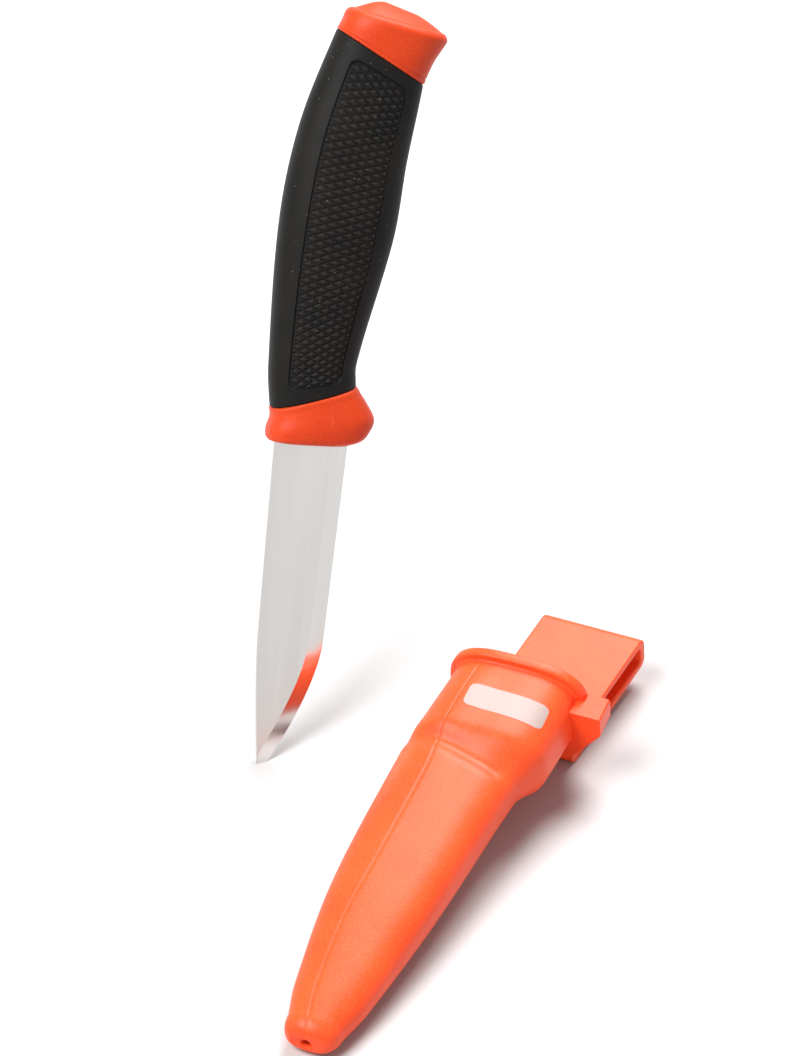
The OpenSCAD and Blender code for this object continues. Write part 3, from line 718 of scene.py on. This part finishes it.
def loop_lug():
    """The lug that runs from the loop's front plate round to the side of the pocket."""
    front, loop_right = -LUG_FRONT_SHARE * POCKET_DEEP, LOOP_OFFSET + LOOP_WIDTH / 2
    left = LOOP_OFFSET - LOOP_WIDTH / 2 + LUG_LAP
    rings = []
    for z in np.linspace(-LUG_HEIGHT, -0.02, 16):
        middle, half_x, half_y, power = curve(shell_rows, -z) - (0, LUG_LAP, LUG_LAP, 0)
        middle += POCKET_SLANT * z
        share = (left - middle) / half_x
        first = math.acos(math.copysign(abs(share) ** (power / 2), share))
        last = -math.asin((-front / half_y) ** (power / 2))
        sunk = oval(half_x, half_y, power, np.linspace(first, last, 40)) + (middle, 0)
        points = [tuple(p) for p in sunk] + [(LUG_SIDE, front), (LUG_SIDE, front + LUG_EDGE),
                                             (loop_right, SPACE_FRONT), (left, SPACE_FRONT)]
        rings.append([(x, y, z) for x, y in points])
    shape = Shape()
    shape.grid([ring[::-1] for ring in rings[::-1]])
    shape.face(rings[0])
    shape.face(rings[-1][::-1])
    return softened(shape.piece("loop_lug", SHEATH, "sheath", [sheath_orange], 40), 0.7)


def blank_badge():
    """A plain pale print on the front, with nothing written on it."""
    (left, top), (right, bottom) = BADGE_LOW, BADGE_HIGH
    rows = []
    for depth in np.linspace(top, bottom, 22):
        near_edge = min(depth - top, bottom - depth, BADGE_CORNER)
        cut = BADGE_CORNER - math.sqrt(max(BADGE_CORNER ** 2 - (BADGE_CORNER - near_edge) ** 2, 0))
        rows.append([(x, -float(shell_front(x, depth)) - BADGE_LIFT, -depth)
                     for x in np.linspace(left + cut, right - cut, 48)])
    shape = Shape()
    shape.grid([row[::-1] for row in rows], around=False)
    return shape.piece("blank_badge", SHEATH, "sheath", [badge_print], 60)


blade_steel()
handle_moulding()
grip_sleeve()
grip_diamonds()
sheath_moulding()
belt_loop()
loop_lug()
blank_badge()


# Floor, light and camera

# Places and sizes in metres, powers in watts
FLOOR_HALF, FLOOR_DARK, FLOOR_LIGHT, SKY_STRENGTH = 4, 0.54, 0.56, 0.28
AIM = Vector((0.03, -0.02, 0.08))
LIGHTS = (("key_light", (-0.55, -0.75, 1.35), 0.9, 32),
          ("back_light", (0.0, 1.0, 1.4), 1.0, 40),
          ("fill_light", (1.1, -0.7, 0.9), 0.9, 1.5))
CAMERA_PLACE, CAMERA_TOWARDS = (0.4007, -0.8702, 0.8777), Vector((-0.29297, 0.71353, -0.63643))
SENSOR_HEIGHT, PICTURE_HEIGHT, FOCAL_PIXELS = 36, 1056, 4463.7


def pale_floor():
    finish = Finish("pale_floor", Roughness=0.9, Specular_IOR_Level=0.1)
    speck = finish.noise(30, 2)
    dark, light = (FLOOR_DARK,) * 3 + (1,), (FLOOR_LIGHT,) * 3 + (1,)
    finish.surface(Base_Color=finish.mix(speck, dark, light))
    mesh = bpy.data.meshes.new("floor")
    corners = [(x * FLOOR_HALF, y * FLOOR_HALF, 0) for x, y in ((-1, -1), (1, -1), (1, 1), (-1, 1))]
    mesh.from_pydata(corners, [], [(0, 1, 2, 3)])
    mesh.materials.append(finish.material)
    floor = bpy.data.objects.new("floor", mesh)
    bpy.context.scene.collection.objects.link(floor)


def soft_sky():
    """White where the camera or a reflection sees it, and dimmer as a light."""
    world = bpy.data.worlds.new("soft_sky")
    bpy.context.scene.world = world
    world.use_nodes = True
    sky = world.node_tree
    path = sky.nodes.new("ShaderNodeLightPath")
    seen = sky.nodes.new("ShaderNodeMath")
    seen.operation = "MAXIMUM"
    strength = sky.nodes.new("ShaderNodeMapRange")
    strength.inputs["To Min"].default_value = SKY_STRENGTH
    sky.links.new(path.outputs["Is Camera Ray"], seen.inputs[0])
    sky.links.new(path.outputs["Is Glossy Ray"], seen.inputs[1])
    sky.links.new(seen.outputs[0], strength.inputs["Value"])
    sky.links.new(strength.outputs[0], sky.nodes["Background"].inputs["Strength"])
    sky.nodes["Background"].inputs["Color"].default_value = (1, 1, 1, 1)


def soft_lights():
    for name, place, size, power in LIGHTS:
        lamp = bpy.data.lights.new(name, "AREA")
        lamp.energy, lamp.shape, lamp.size = power, "DISK", size
        light = bpy.data.objects.new(name, lamp)
        light.location = place
        light.rotation_euler = (AIM - Vector(place)).to_track_quat("-Z", "Y").to_euler()
        bpy.context.scene.collection.objects.link(light)


def picture_camera():
    lens = bpy.data.cameras.new("camera")
    lens.sensor_fit, lens.sensor_height = "VERTICAL", SENSOR_HEIGHT
    lens.lens = FOCAL_PIXELS / PICTURE_HEIGHT * SENSOR_HEIGHT
    lens.clip_start, lens.clip_end = 0.01, 20
    camera = bpy.data.objects.new("camera", lens)
    camera.location = CAMERA_PLACE
    camera.rotation_euler = CAMERA_TOWARDS.to_track_quat("-Z", "Y").to_euler()
    bpy.context.scene.collection.objects.link(camera)
    bpy.context.scene.camera = camera
    bpy.context.scene.view_settings.view_transform = "Standard"


pale_floor()
soft_sky()
soft_lights()
picture_camera()
